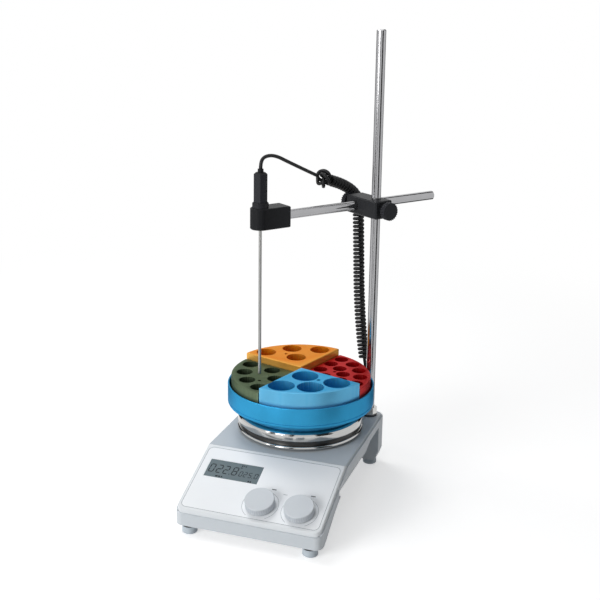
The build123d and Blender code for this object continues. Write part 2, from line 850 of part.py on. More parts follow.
# QUARTER BLOCKS: each lists its bores by distance from the centre, number and angles, then its probe bore
gold_rows = [(31.7, (45,)), (60.3, (15, 45, 75))]
green_rows = [(32.0, (22.5, 67.5)), (60.5, (11.25, 33.75, 56.25, 78.75))]
blue_rows = [(26.3, (45,)), (57.6, (15, 45, 75))]
red_rows = [(25.0, (22.5, 67.5)), (45.0, (12, 34, 56, 78)), (63.5, (10, 27.5, 45, 62.5, 80))]
blocks = {
    "block_gold": (0, block_high, 10.8, 27.0, gold_rows, (45, 57)),
    "block_green": (90, block_low, 8.75, 21.0, green_rows, None),
    "block_blue": (180, block_high, 14.0, 24.0, blue_rows, (41, 62)),
    "block_red": (270, block_low, 7.6, 18.0, red_rows, (37, 45)),
}
probe_x = stand_point(arm_offset, -arm_reach, 0).X
probe_y = stand_point(arm_offset, -arm_reach, 0).Y
for name, (quarter, height, bore, depth, rows, probe_bore) in blocks.items():
    turn = block_turn + quarter
    seat = Plane(
        origin=(0, plate_y, tray_floor_z),
        x_dir=(cos(radians(turn)), sin(radians(turn)), 0),
        z_dir=(0, 0, 1),
    )
    inner = (block_radius**2 - block_gap**2) ** 0.5
    mid = block_radius * cos(radians(45))
    with BuildPart() as block:
        with BuildSketch(seat):
            with BuildLine():
                Line((block_gap, block_gap), (inner, block_gap))
                ThreePointArc((inner, block_gap), (mid, mid), (block_gap, inner))
                Line((block_gap, inner), (block_gap, block_gap))
            make_face()
        extrude(amount=height)
        chamfer(block.faces().sort_by(Axis.Z)[-1].edges(), 0.6)
        with BuildSketch(seat.offset(height - depth)):
            for radius, angles in rows:
                for angle in angles:
                    with Locations((radius * cos(radians(angle)), radius * sin(radians(angle)))):
                        Circle(bore)
        extrude(amount=depth, mode=Mode.SUBTRACT)
        if probe_bore:
            with BuildSketch(seat.offset(height - probe_bore_depth)):
                with Locations(
                    (probe_bore[0] * cos(radians(probe_bore[1])), probe_bore[0] * sin(radians(probe_bore[1])))
                ):
                    Circle(probe_radius + probe_bore_gap)
            extrude(amount=probe_bore_depth, mode=Mode.SUBTRACT)
        else:
            with BuildSketch(Plane.XY.offset(tray_floor_z + height - probe_bore_depth)):
                with Locations((probe_x, probe_y)):
                    Circle(probe_radius + probe_bore_gap)
            extrude(amount=probe_bore_depth, mode=Mode.SUBTRACT)
    save(block, name)

# SUPPORT ROD with its insert, washer and nut
with BuildPart() as rod_insert:
    with BuildSketch(Plane.XY.offset(floor_z + 2)):
        with Locations((rod_x, rod_y)):
            Circle(rod_radius + insert_wall)
    extrude(amount=cover_z - floor_z - 2)
    with BuildSketch(Plane.XY.offset(rod_foot_z - 0.3)):
        with Locations((rod_x, rod_y)):
            Circle(rod_radius + bore_running_gap)
    extrude(amount=cover_z - rod_foot_z + 0.3, mode=Mode.SUBTRACT)
save(rod_insert, "rod_insert")

with BuildPart() as rod_washer:
    with BuildSketch(Plane.XY.offset(top_z)):
        with Locations((rod_x, rod_y)):
            Circle(washer_radius)
            Circle(rod_radius + bore_running_gap, mode=Mode.SUBTRACT)
    extrude(amount=washer_height)
    chamfer(rod_washer.edges().group_by(Axis.Z)[-1].sort_by(SortBy.RADIUS)[-1], 0.6)
save(rod_washer, "rod_washer")

with BuildPart() as rod_nut:
    with BuildSketch(Plane.XY.offset(top_z + washer_height)):
        with Locations((rod_x, rod_y)):
            RegularPolygon(7.0, 6, major_radius=False, rotation=12)
            Circle(rod_radius + bore_running_gap, mode=Mode.SUBTRACT)
    extrude(amount=nut_height)
save(rod_nut, "rod_nut")

with BuildPart() as support_rod:
    with BuildSketch(Plane.XY.offset(rod_foot_z)):
        with Locations((rod_x, rod_y)):
            Circle(rod_radius)
    extrude(amount=rod_length)
    chamfer(support_rod.edges().group_by(Axis.Z)[-1], 1)
    chamfer(support_rod.edges().group_by(Axis.Z)[0], 0.8)
save(support_rod, "support_rod")

# BOSS HEAD: a block with two crossed bores and a tapped hole at each end
boss_low_z = arm_z - boss_height / 2
boss_length = boss_rod_side + arm_offset + boss_arm_side
boss_middle = (arm_offset + boss_arm_side - boss_rod_side) / 2
with BuildPart() as boss_head:
    with BuildSketch(stand_plane(boss_middle, 0, boss_low_z)):
        Rectangle(boss_width, boss_length)
    extrude(amount=boss_height)
    chamfer(boss_head.edges(), 1.2)
    with BuildSketch(stand_plane(0, 0, boss_low_z)):
        Circle(rod_radius + bore_running_gap)
    extrude(amount=boss_height, mode=Mode.SUBTRACT)
    with BuildSketch(Plane(origin=stand_point(arm_offset, -boss_width / 2, arm_z), z_dir=arm_dir)):
        Circle(rod_radius + bore_running_gap)
    extrude(amount=boss_width, mode=Mode.SUBTRACT)
    with BuildSketch(Plane(origin=stand_point(0, 0, arm_z), z_dir=side_dir)):
        Circle(screw_radius + bore_running_gap)
    extrude(amount=boss_rod_side, mode=Mode.SUBTRACT)
    with BuildSketch(Plane(origin=stand_point(arm_offset, 0, arm_z), z_dir=-side_dir)):
        Circle(screw_radius + bore_running_gap)
    extrude(amount=boss_arm_side, mode=Mode.SUBTRACT)
save(boss_head, "boss_head")

# THUMBSCREWS: shank, knurled neck and round head
screws = {
    "rod_thumbscrew": (0, side_dir, boss_rod_side),
    "arm_thumbscrew": (arm_offset, -side_dir, boss_arm_side),
}
for name, (aside, way, reach) in screws.items():
    axis_point = stand_point(aside, 0, arm_z)
    with BuildPart() as thumbscrew:
        with BuildSketch(Plane(origin=axis_point + way * (rod_radius + 0.1), z_dir=way)):
            Circle(screw_radius)
        extrude(amount=reach - rod_radius + thumb_gap + 0.1)
        with BuildSketch(Plane(origin=axis_point + way * (reach + thumb_gap), z_dir=way)):
            Circle(thumb_radius - 3)
        extrude(amount=thumb_neck)
        with BuildSketch(Plane(origin=axis_point + way * (reach + thumb_gap + thumb_neck), z_dir=way)):
            Circle(thumb_radius)
            with PolarLocations(thumb_radius, 24):
                Circle(0.7, mode=Mode.SUBTRACT)
        extrude(amount=thumb_thickness)
    save(thumbscrew, name)

# ARM ROD and SENSOR HOLDER
arm_start = -arm_reach + arm_socket
with BuildPart() as arm_rod:
    with BuildSketch(Plane(origin=stand_point(arm_offset, arm_start, arm_z), z_dir=arm_dir)):
        Circle(rod_radius)
    extrude(amount=arm_tail - arm_start)
    chamfer(arm_rod.edges().filter_by(GeomType.CIRCLE), 0.8)
save(arm_rod, "arm_rod")

holder_end = holder_length - holder_width / 2
with BuildPart() as sensor_holder:
    with BuildSketch(stand_plane(arm_offset, -arm_reach, arm_z - holder_height / 2)):
        Circle(holder_width / 2)
        with Locations((holder_end / 2, 0)):
            Rectangle(holder_end, holder_width)
    extrude(amount=holder_height)
    chamfer(sensor_holder.faces().filter_by(Axis.Z).edges(), 0.8)
    with BuildSketch(stand_plane(arm_offset, -arm_reach, arm_z - holder_height / 2)):
        Circle(probe_radius + bore_running_gap)
    extrude(amount=holder_height, mode=Mode.SUBTRACT)
    with BuildSketch(Plane(origin=stand_point(arm_offset, arm_start, arm_z), z_dir=arm_dir)):
        Circle(rod_radius + press_gap)
    extrude(amount=holder_end, mode=Mode.SUBTRACT)
save(sensor_holder, "sensor_holder")

# PROBE: thin shaft, collar and faceted handle
collar_z = arm_z + holder_height / 2
handle_z = collar_z + collar_height
handle_top_z = handle_z + handle_height
probe_plane = stand_plane(arm_offset, -arm_reach, 0)
with BuildPart() as probe_shaft:
    with BuildSketch(probe_plane.offset(probe_tip_z)):
        Circle(probe_radius)
    extrude(amount=handle_z - probe_tip_z + handle_socket)
    fillet(probe_shaft.edges().group_by(Axis.Z)[0], probe_radius * 0.6)
save(probe_shaft, "probe_shaft")

with BuildPart() as probe_collar:
    with BuildSketch(probe_plane.offset(collar_z)):
        Circle(collar_radius)
        Circle(probe_radius + press_gap, mode=Mode.SUBTRACT)
    extrude(amount=collar_height)
    chamfer(probe_collar.edges().group_by(Axis.Z)[-1].sort_by(SortBy.RADIUS)[-1], 0.8)
save(probe_collar, "probe_collar")

with BuildPart() as probe_handle:
    with BuildSketch(probe_plane.offset(handle_z)):
        RegularPolygon(handle_across / 2, 8, major_radius=False, rotation=10)
    extrude(amount=handle_height)
    chamfer(probe_handle.faces().sort_by(Axis.Z)[-1].edges(), 1.8)
    with BuildSketch(probe_plane.offset(handle_top_z)):
        Circle(handle_neck_radius)
    extrude(amount=neck_height)
    with BuildSketch(probe_plane.offset(handle_z)):
        Circle(probe_radius + press_gap)
    extrude(amount=handle_socket + press_gap, mode=Mode.SUBTRACT)
save(probe_handle, "probe_handle")


# PROBE CABLE: plain tubes along straight runs joined by arcs
def route_radii(points):
    """For each corner, 0.45 of its shorter run divided by the tangent of half its turn."""
    radii = []
    for before, here, after in zip(points, points[1:], points[2:]):
        run_in = here - before
        run_out = after - here
        turn = radians(run_in.get_angle(run_out))
        radii.append(0.45 * min(run_in.length, run_out.length) / tan(turn / 2))
    return radii


def tube(points, diameter, name):
    """One plain tube along the route, written as its own node."""
    radii = route_radii(points)
    with BuildPart() as piece:
        with BuildLine() as route:
            if radii:
                FilletPolyline(*points, radius=radii)
            else:
                Line(*points)
        with BuildSketch(Plane(origin=points[0], z_dir=points[1] - points[0])):
            Circle(diameter / 2)
        sweep()
    length = route.wires()[0].length
    share = piece.part.volume / (3.14159265 * diameter**2 / 4 * length)
    shown = [round(radius, 1) for radius in radii]
    print(name, "length", round(length, 1), "radii", shown, "volume share", round(share, 4))
    save(piece, name)


clump = stand_point(clump_aside, clump_along, arm_z + clump_rise)
lead_start = stand_point(arm_offset, -arm_reach, handle_top_z + neck_height)
lead_fall = stand_point(arm_offset + 10.4, -arm_reach + 42.2, lead_start.Z + 1.1)
lead_end = clump + (lead_fall - clump).normalized() * clump_radius
coil_join = stand_point(coil_aside, coil_along, arm_z - coil_drop)
coil_bend = stand_point(coil_aside - coil_diameter / 2, coil_along, tray_top_z + coil_bend_rise)
coil_corner = coil_join + (coil_join - coil_bend).normalized() * (coil_drop + clump_radius)
coil_start = clump + (coil_corner - clump).normalized() * clump_radius
coil_end = stand_point(coil_aside - 17.6, coil_along, tray_top_z + coil_end_rise)
lead_route = [
    lead_start,
    lead_start + Vector(0, 0, 7.6),
    stand_point(arm_offset + 1.0, -arm_reach + 6.2, lead_start.Z + 12.4),
    stand_point(arm_offset + 3.8, -arm_reach + 20.2, lead_start.Z + 11.4),
    lead_fall,
    lead_end,
]
tube(lead_route, cable_diameter, "cable_lead")
tube([coil_start, coil_corner, coil_join], coil_diameter, "cable_coil_upper")
tube([coil_join, coil_bend, coil_end], coil_diameter, "cable_coil_hanging")
coil_way = (coil_end - coil_bend).normalized()
tail_route = [
    coil_end,
    coil_end + coil_way * 16,
    Vector(coil_end.X + 2, coil_end.Y + 9, connection_z + 36),
    Vector(socket_x + 4, plug_end_y + 23, connection_z + 16),
    Vector(socket_x, plug_end_y + 19, connection_z),
    Vector(socket_x, plug_end_y, connection_z),
]
tube(tail_route, cable_diameter, "cable_tail")
with BuildPart() as cable_clump:
    with Locations(clump):
        Sphere(clump_radius)
save(cable_clump, "cable_clump")
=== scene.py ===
import bpy
import bmesh
from math import ceil, cos, pi, radians, sin
from mathutils import Matrix, Vector


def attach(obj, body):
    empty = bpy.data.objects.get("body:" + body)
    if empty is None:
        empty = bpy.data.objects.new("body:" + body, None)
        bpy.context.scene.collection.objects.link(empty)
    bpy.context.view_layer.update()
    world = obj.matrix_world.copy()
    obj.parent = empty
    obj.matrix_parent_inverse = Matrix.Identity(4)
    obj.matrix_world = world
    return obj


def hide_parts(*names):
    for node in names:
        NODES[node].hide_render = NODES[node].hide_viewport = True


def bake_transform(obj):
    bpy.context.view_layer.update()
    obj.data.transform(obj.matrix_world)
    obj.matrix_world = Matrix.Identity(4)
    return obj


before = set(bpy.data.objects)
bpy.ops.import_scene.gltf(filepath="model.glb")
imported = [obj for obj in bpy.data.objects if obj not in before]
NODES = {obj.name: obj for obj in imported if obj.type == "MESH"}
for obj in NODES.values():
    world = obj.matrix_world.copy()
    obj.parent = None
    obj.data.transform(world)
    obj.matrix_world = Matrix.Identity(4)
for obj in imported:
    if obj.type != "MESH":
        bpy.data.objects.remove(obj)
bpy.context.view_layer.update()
MM = 0.001
scene = bpy.context.scene

# CAMERA at the photograph's viewing angle
AZIMUTH = radians(19.731)
PITCH = radians(13.86)
ROLL = radians(0.539)
CAMERA_PLACE = Vector((0.3399, -0.9786, 0.5301))
cam_data = bpy.data.cameras.new("camera")
cam_data.lens = 64.06
cam_data.sensor_width = 36.0
cam_data.shift_x = 0.036
cam_data.shift_y = -0.096
cam_data.clip_start = 0.05
cam_data.clip_end = 60.0
camera = bpy.data.objects.new("camera", cam_data)
scene.collection.objects.link(camera)
scene.camera = camera
forward = Vector((-sin(AZIMUTH) * cos(PITCH), cos(AZIMUTH) * cos(PITCH), -sin(PITCH)))
level = Vector((cos(AZIMUTH), sin(AZIMUTH), 0))
upward = level.cross(forward)
right = level * cos(ROLL) + upward * sin(ROLL)
up = upward * cos(ROLL) - level * sin(ROLL)
turn = Matrix((right, up, -forward)).transposed().to_4x4()
camera.matrix_world = Matrix.Translation(CAMERA_PLACE) @ turn


def srgb(r, g, b):
    """A colour written as screen values from 0 to 255, as the renderer's linear values."""
    def one(c):
        c = c / 255
        return c / 12.92 if c <= 0.04045 else ((c + 0.055) / 1.055) ** 2.4
    return (one(r), one(g), one(b), 1.0)


# MATERIALS
BUMP_DEPTH = 0.0004


def surface(name, colour, rough, metal=0.0, vary=0.05, tone=60, grain=900, bump=0.05,
            rough_vary=0.08, coat=0.0, specular=0.5, pattern="plain", wear=None, centre=(0, 0, 0),
            stretch=(1, 1, 1), second=None, second_bump=0.0, tint=(1, 1, 1, 1)):
    """A procedural finish: colour that drifts a little, uneven gloss, a fine grain and worn edges."""
    made = bpy.data.materials.new(name)
    made.use_nodes = True
    tree = made.node_tree
    tree.nodes.clear()
    new = tree.nodes.new
    join = tree.links.new
    out = new("ShaderNodeOutputMaterial")
    shader = new("ShaderNodeBsdfPrincipled")
    join(shader.outputs["BSDF"], out.inputs["Surface"])
    shader.inputs["Metallic"].default_value = metal
    shader.inputs["Coat Weight"].default_value = coat
    shader.inputs["Coat Roughness"].default_value = 0.12
    shader.inputs["Specular IOR Level"].default_value = specular
    shader.inputs["Specular Tint"].default_value = tint
    place = new("ShaderNodeTexCoord")
    moved = new("ShaderNodeMapping")
    moved.vector_type = "POINT"
    moved.inputs["Location"].default_value = [-c for c in centre]
    moved.inputs["Scale"].default_value = stretch
    join(place.outputs["Object"], moved.inputs["Vector"])
    # Slow drift of colour and gloss
    drift = new("ShaderNodeTexNoise")
    drift.inputs["Scale"].default_value = tone
    drift.inputs["Detail"].default_value = 4.0
    join(place.outputs["Object"], drift.inputs["Vector"])
    shade = new("ShaderNodeValToRGB")
    low = [c * (1 - vary) for c in colour[:3]] + [1.0]
    high = [min(1.0, c * (1 + vary)) for c in colour[:3]] + [1.0]
    shade.color_ramp.elements[0].color = low
    shade.color_ramp.elements[1].color = high
    shade.color_ramp.elements[0].position = 0.3
    shade.color_ramp.elements[1].position = 0.7
    join(drift.outputs["Fac"], shade.inputs["Fac"])
    base = shade.outputs["Color"]
    # Fine grain
    fine = new("ShaderNodeTexNoise")
    fine.inputs["Scale"].default_value = grain
    fine.inputs["Detail"].default_value = 3.0
    if pattern == "turned":
        split = new("ShaderNodeSeparateXYZ")
        join(moved.outputs["Vector"], split.inputs["Vector"])
        flat = new("ShaderNodeCombineXYZ")
        join(split.outputs["X"], flat.inputs["X"])
        join(split.outputs["Y"], flat.inputs["Y"])
        reach = new("ShaderNodeVectorMath")
        reach.operation = "LENGTH"
        join(flat.outputs["Vector"], reach.inputs[0])
        rings = new("ShaderNodeCombineXYZ")
        join(reach.outputs["Value"], rings.inputs["X"])
        join(split.outputs["Z"], rings.inputs["Z"])
        join(rings.outputs["Vector"], fine.inputs["Vector"])
    else:
        join(moved.outputs["Vector"], fine.inputs["Vector"])
    gloss = new("ShaderNodeMapRange")
    gloss.inputs["To Min"].default_value = max(0.02, rough - rough_vary)
    gloss.inputs["To Max"].default_value = min(1.0, rough + rough_vary)
    join(fine.outputs["Fac"], gloss.inputs["Value"])
    join(gloss.outputs["Result"], shader.inputs["Roughness"])
    lump = new("ShaderNodeBump")
    lump.inputs["Strength"].default_value = bump
    lump.inputs["Distance"].default_value = BUMP_DEPTH
    join(fine.outputs["Fac"], lump.inputs["Height"])
    normal = lump.outputs["Normal"]
    if second is not None:
        cells = new("ShaderNodeTexVoronoi")
        cells.inputs["Scale"].default_value = second
        join(moved.outputs["Vector"], cells.inputs["Vector"])
        coarse = new("ShaderNodeBump")
        coarse.inputs["Strength"].default_value = second_bump
        coarse.inputs["Distance"].default_value = BUMP_DEPTH
        join(cells.outputs["Distance"], coarse.inputs["Height"])
        join(normal, coarse.inputs["Normal"])
        normal = coarse.outputs["Normal"]
    join(normal, shader.inputs["Normal"])
    if wear is not None:
        point = new("ShaderNodeNewGeometry")
        edge = new("ShaderNodeValToRGB")
        edge.color_ramp.elements[0].position = 0.54
        edge.color_ramp.elements[1].position = 0.64
        join(point.outputs["Pointiness"], edge.inputs["Fac"])
        worn = new("ShaderNodeMix")
        worn.data_type = "RGBA"
        worn.inputs[7].default_value = wear
        join(edge.outputs["Color"], worn.inputs[0])
        join(base, worn.inputs[6])
        base = worn.outputs[2]
    join(base, shader.inputs["Base Color"])
    return made


PLATE = (0, 0.0446, 0)
ROD = Vector((62.0, 102.3, 0)) * MM
ARM_TURN = radians(53.6)
ARM = Vector((cos(ARM_TURN), sin(ARM_TURN), 0))
SIDE = Vector((ARM.y, -ARM.x, 0))

paint = surface("housing_paint", srgb(196, 203, 209), 0.42, vary=0.02, grain=2600, bump=0.05,
                rough_vary=0.05, coat=0.05, specular=0.35, second=1500, second_bump=0.03,
                wear=srgb(216, 221, 225))
bezel_paint = surface("bezel_paint", srgb(226, 230, 233), 0.36, vary=0.015, grain=2400, bump=0.04,
                      rough_vary=0.05, coat=0.05, specular=0.35, wear=srgb(240, 242, 244))
overlay_film = surface("overlay_film", srgb(238, 241, 244), 0.30, vary=0.012, tone=30, grain=3200,
                       bump=0.03, rough_vary=0.04, coat=0.1, specular=0.3)
lcd = surface("lcd_glass", srgb(98, 114, 120), 0.35, vary=0.05, tone=25, grain=4000, bump=0.01,
              rough_vary=0.04, coat=0.0, specular=0.15)
segment_ink = surface("segment_ink", srgb(22, 27, 31), 0.45, vary=0.08, grain=4000, bump=0.01, specular=0.15)
# Grey print, also used for the painted shadow line along the overlay's edge
print_and_shadow_grey = surface("print_and_shadow_grey", srgb(140, 148, 154), 0.45, vary=0.05, grain=3500, bump=0.02)
print_dark = surface("print_dark", srgb(46, 52, 58), 0.45, vary=0.05, grain=3500, bump=0.02)
knob_plastic = surface("knob_plastic", srgb(202, 208, 214), 0.46, vary=0.02, grain=2600, bump=0.06,
                       rough_vary=0.06, coat=0.05, wear=srgb(222, 226, 230))
foot_rubber = surface("foot_rubber", srgb(196, 206, 214), 0.62, vary=0.04, grain=1800, bump=0.15)
# Painted shade: near-black ring at the top of each foot, standing in for the shadow in the gap at the foot's
# neck
foot_neck_shade = surface("foot_neck_shade", srgb(30, 31, 33), 0.7, vary=0.1, grain=1800, bump=0.2)
polished = surface("polished_steel", srgb(186, 186, 184), 0.11, metal=1.0, vary=0.02, grain=2500,
                   bump=0.03, rough_vary=0.04, pattern="turned", centre=PLATE)
rod_chrome = surface("rod_chrome", srgb(168, 168, 170), 0.13, metal=1.0, vary=0.03, grain=1600,
                     bump=0.03, rough_vary=0.05, stretch=(1, 1, 0.04))
nut_steel = surface("nut_steel", srgb(200, 200, 198), 0.18, metal=1.0, vary=0.04, grain=1500,
                    bump=0.06, rough_vary=0.06)
# Painted shade: dark steel that stands in for the shaded neck under the plate and its dark reflection
neck_shade_steel = surface("neck_shade_steel", srgb(74, 74, 74), 0.3, metal=0.9, vary=0.05, grain=1500, bump=0.05)
fine_steel = surface("fine_steel", srgb(168, 168, 166), 0.32, metal=1.0, vary=0.04, grain=1500,
                     bump=0.05, rough_vary=0.07, stretch=(1, 1, 0.03))
ANODISED = dict(metal=0.6, specular=0.3, rough_vary=0.10, bump=0.16, grain=1700, vary=0.06, tone=40)
tray_blue = surface("tray_blue", srgb(54, 154, 202), 0.40, tint=srgb(110, 180, 225),
                    wear=srgb(120, 185, 220), **ANODISED)
block_blue = surface("block_blue", srgb(62, 168, 214), 0.38, tint=srgb(120, 190, 235),
                     wear=srgb(130, 195, 230), **ANODISED)
block_gold = surface("block_gold", srgb(228, 144, 30), 0.38, tint=srgb(250, 170, 50),
                     wear=srgb(232, 180, 96), **ANODISED)
block_green = surface("block_green", srgb(72, 86, 64), 0.38, tint=srgb(150, 160, 145),
                      wear=srgb(120, 136, 108), **ANODISED)
block_red = surface("block_red", srgb(184, 16, 22), 0.38, tint=srgb(225, 60, 60),
                    wear=srgb(204, 84, 84), **ANODISED)
black_metal = surface("black_metal", srgb(20, 21, 23), 0.45, vary=0.08, grain=1800, bump=0.10,
                      rough_vary=0.08, specular=0.12, second=1700, second_bump=0.05, wear=srgb(46, 47, 50))
black_plastic = surface("black_plastic", srgb(22, 23, 26), 0.45, vary=0.08, grain=2400, bump=0.08,
                        rough_vary=0.08, specular=0.15, wear=srgb(44, 45, 50))
cable_rubber = surface("cable_rubber", srgb(20, 21, 23), 0.46, vary=0.12, grain=1800, bump=0.10,
                       rough_vary=0.08, specular=0.3)
washer_rubber = surface("washer_rubber", srgb(52, 56, 60), 0.5, vary=0.08, grain=1600, bump=0.12)
board_green = surface("board_green", srgb(28, 92, 58), 0.4, vary=0.08, grain=1200, bump=0.1)
module_grey = surface("module_grey", srgb(78, 84, 86), 0.55, vary=0.06, grain=1500, bump=0.1)
motor_paint = surface("motor_paint", srgb(70, 72, 76), 0.45, vary=0.06, grain=1500, bump=0.1)
heater_iron = surface("heater_iron", srgb(70, 66, 62), 0.7, metal=0.6, vary=0.12, grain=900, bump=0.25)
wool = surface("insulation_wool", srgb(220, 214, 200), 0.95, vary=0.08, grain=700, bump=0.6)
carrier_metal = surface("carrier_metal", srgb(190, 192, 194), 0.35, metal=1.0, vary=0.04,
                        grain=1500, bump=0.08)
magnet_metal = surface("magnet_metal", srgb(112, 112, 116), 0.3, metal=1.0, vary=0.05,
                       grain=1500, bump=0.06)

FINISH = {
    "lower_housing": paint, "top_cover": paint, "bottom_cover": paint, "front_bezel": bezel_paint,
    "panel_overlay": overlay_film, "display_window": lcd, "display_module": module_grey,
    "control_board": board_green, "power_board": board_green, "bottom_cover_screws": nut_steel,
    # foot_rings take the painted shade at the foot's neck
    "feet": foot_rubber, "foot_rings": foot_neck_shade, "hotplate": polished, "plate_skirt": polished,
    "heater_disc": heater_iron, "insulation_disc": wool, "plate_standoffs": nut_steel,
    "encoder_bodies": module_grey, "encoder_plunger_left": fine_steel, "encoder_plunger_right": fine_steel,
    "encoder_shaft_left": fine_steel, "encoder_shaft_right": fine_steel,
    "knob_left": knob_plastic, "knob_right": knob_plastic, "motor": motor_paint,
    "motor_bracket": nut_steel, "motor_shaft": fine_steel, "magnet_carrier": carrier_metal,
    "magnets": magnet_metal, "mains_inlet": black_plastic, "switch_frame": black_plastic,
    "switch_rocker": black_plastic, "probe_socket": fine_steel, "probe_plug": fine_steel,
    "tray": tray_blue, "block_gold": block_gold, "block_green": block_green, "block_blue": block_blue,
    "block_red": block_red, "rod_insert": nut_steel, "rod_washer": washer_rubber, "rod_nut": nut_steel,
    "support_rod": rod_chrome, "arm_rod": rod_chrome, "boss_head": black_metal,
    "rod_thumbscrew": black_plastic, "arm_thumbscrew": black_plastic, "sensor_holder": black_metal,
    "probe_shaft": fine_steel, "probe_collar": black_plastic, "probe_handle": black_plastic,
}
for node, finish in FINISH.items():
    NODES[node].data.materials.clear()
    NODES[node].data.materials.append(finish)


# CABLE: one cord from its plug on the base, through the hanging coil, to the probe's handle
def stand(aside, along, z):
    """A point by its distance from the rod: aside to the left of the arm, along the arm, and its height."""
    return ROD - SIDE * aside * MM + ARM * along * MM + Vector((0, 0, z * MM))


def spline_points(points, resolution=24):
    """Points along the NURBS spline that has the route's points as its control points."""
    data = bpy.data.curves.new("route", "CURVE")
    data.dimensions = "3D"
    data.resolution_u = resolution
    spline = data.splines.new("NURBS")
    spline.points.add(len(points) - 1)
    for slot, point in zip(spline.points, points):
        slot.co = (*point, 1.0)
    spline.order_u = 3
    spline.use_endpoint_u = True
    holder = bpy.data.objects.new("route", data)
    scene.collection.objects.link(holder)
    bpy.context.view_layer.update()
    line = bpy.data.meshes.new_from_object(holder)
    found = [v.co.copy() for v in line.vertices]
    bpy.data.objects.remove(holder)
    bpy.data.meshes.remove(line)
    bpy.data.curves.remove(data)
    return found


def frames_along(points):
    """For each point: the way on, and two directions across it that turn as little as they can."""
    ways = []
    for k in range(len(points)):
        a = points[max(0, k - 1)]
        b = points[min(len(points) - 1, k + 1)]
        ways.append((b - a).normalized())
    across = ways[0].orthogonal().normalized()
    found = []
    for way in ways:
        across = (across - way * across.dot(way)).normalized()
        found.append((way, across, way.cross(across)))
    return found


def tube(name, points, radius, sides=12):
    """A closed round tube along points."""
    mesh = bpy.data.meshes.new(name)
    bm = bmesh.new()
    rings = []
    for point, (way, side, over) in zip(points, frames_along(points)):
        ring = []
        for k in range(sides):
            a = 2 * pi * k / sides
            ring.append(bm.verts.new(point + (side * cos(a) + over * sin(a)) * radius))
        rings.append(ring)
    for one, two in zip(rings, rings[1:]):
        for k in range(sides):
            bm.faces.new((one[k], one[(k + 1) % sides], two[(k + 1) % sides], two[k]))
    bm.faces.new(list(reversed(rings[0])))
    bm.faces.new(rings[-1])
    bmesh.ops.recalc_face_normals(bm, faces=bm.faces)
    bm.to_mesh(mesh)
    bm.free()
    mesh.polygons.foreach_set("use_smooth", [len(p.vertices) == 4 for p in mesh.polygons])
    mesh.materials.append(cable_rubber)
    piece = bpy.data.objects.new(name, mesh)
    scene.collection.objects.link(piece)
    return piece


def helix(points, radius, pitch, per_turn=18):
    """Points of a helix round a line, evenly wound."""
    frames = frames_along(points)
    lengths = [0.0]
    for a, b in zip(points, points[1:]):
        lengths.append(lengths[-1] + (b - a).length)
    total = lengths[-1]
    count = ceil(total / pitch * per_turn)
    found = []
    k = 0
    for n in range(count + 1):
        s = total * n / count
        while k < len(points) - 2 and lengths[k + 1] < s:
            k += 1
        t = (s - lengths[k]) / max(1e-9, lengths[k + 1] - lengths[k])
        centre = points[k].lerp(points[k + 1], t)
        side = frames[k][1].lerp(frames[k + 1][1], t)
        over = frames[k][2].lerp(frames[k + 1][2], t)
        a = 2 * pi * s / pitch
        found.append(centre + (side * cos(a) + over * sin(a)) * radius)
    return found


CABLE = 3.7 * MM
COIL = 13.0 * MM
PITCH_OF_COIL = 4.4 * MM
CLUMP_RADIUS = 11
CORNER_RUN = 37.8
JOIN_CEILING = 0.3
FAR_OFF = 9
clump = stand(46, -36, 322.5)
lead_start = stand(21.6, -132.2, 345.4)
lead_fall = stand(32, -90, 346.5)
lead_end = clump + (lead_fall - clump).normalized() * CLUMP_RADIUS * MM
coil_join = stand(52, 18, 268)
coil_bend = stand(45.5, 18, 152)
coil_corner = coil_join + (coil_join - coil_bend).normalized() * CORNER_RUN * MM
coil_start = clump + (coil_corner - clump).normalized() * CLUMP_RADIUS * MM
coil_end = stand(34.4, 18, 112)
coil_way = (coil_end - coil_bend).normalized()

tail_line = spline_points([
    Vector((36, 141.2, 42)) * MM,
    Vector((36, 160.2, 42)) * MM,
    Vector((40, 164.2, 58)) * MM,
    Vector((coil_end.x + 2 * MM, coil_end.y + 9 * MM, 78 * MM)),
    coil_end + coil_way * 16 * MM,
    coil_end,
])
tail = tube("cable_tail_cord", tail_line, CABLE / 2)
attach(tail, "base")
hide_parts("cable_tail")

coil_line = spline_points([coil_end, coil_bend, coil_join, coil_corner, coil_start], 60)
turns = helix(coil_line, (COIL - CABLE) / 2, PITCH_OF_COIL)


def off_join(k):
    """How far below or above the coil's join a turn's point lies; points over the ceiling don't count."""
    return abs(turns[k].z - coil_join.z) if turns[k].z < JOIN_CEILING else FAR_OFF


upper_at = min(range(len(turns)), key=off_join)
middle = upper_at // 2
lead_in = [coil_end.lerp(turns[0], t) for t in (0.0, 0.35, 0.7)]
lower_turns = lead_in + turns[:middle + 1]
rising_turns = turns[middle:upper_at + 1]
upper_turns = turns[upper_at:]
lead_out = [turns[-1].lerp(coil_start, t) for t in (0.35, 0.7, 1.0)]
upper_turns = upper_turns + lead_out
for name, path, one, two, nodes in (
    ("coil_lower_turns", lower_turns, "base", "stand", ["cable_coil_hanging"]),
    ("coil_rising_turns", rising_turns, "stand", "boss", ["cable_coil_hanging"]),
    ("coil_upper_turns", upper_turns, "boss", "arm", ["cable_coil_upper"]),
):
    piece = tube(name, path, CABLE / 2, 10)
    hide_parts(*nodes)
    if name == "coil_upper_turns":
        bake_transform(piece)
    else:
        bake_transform(piece)

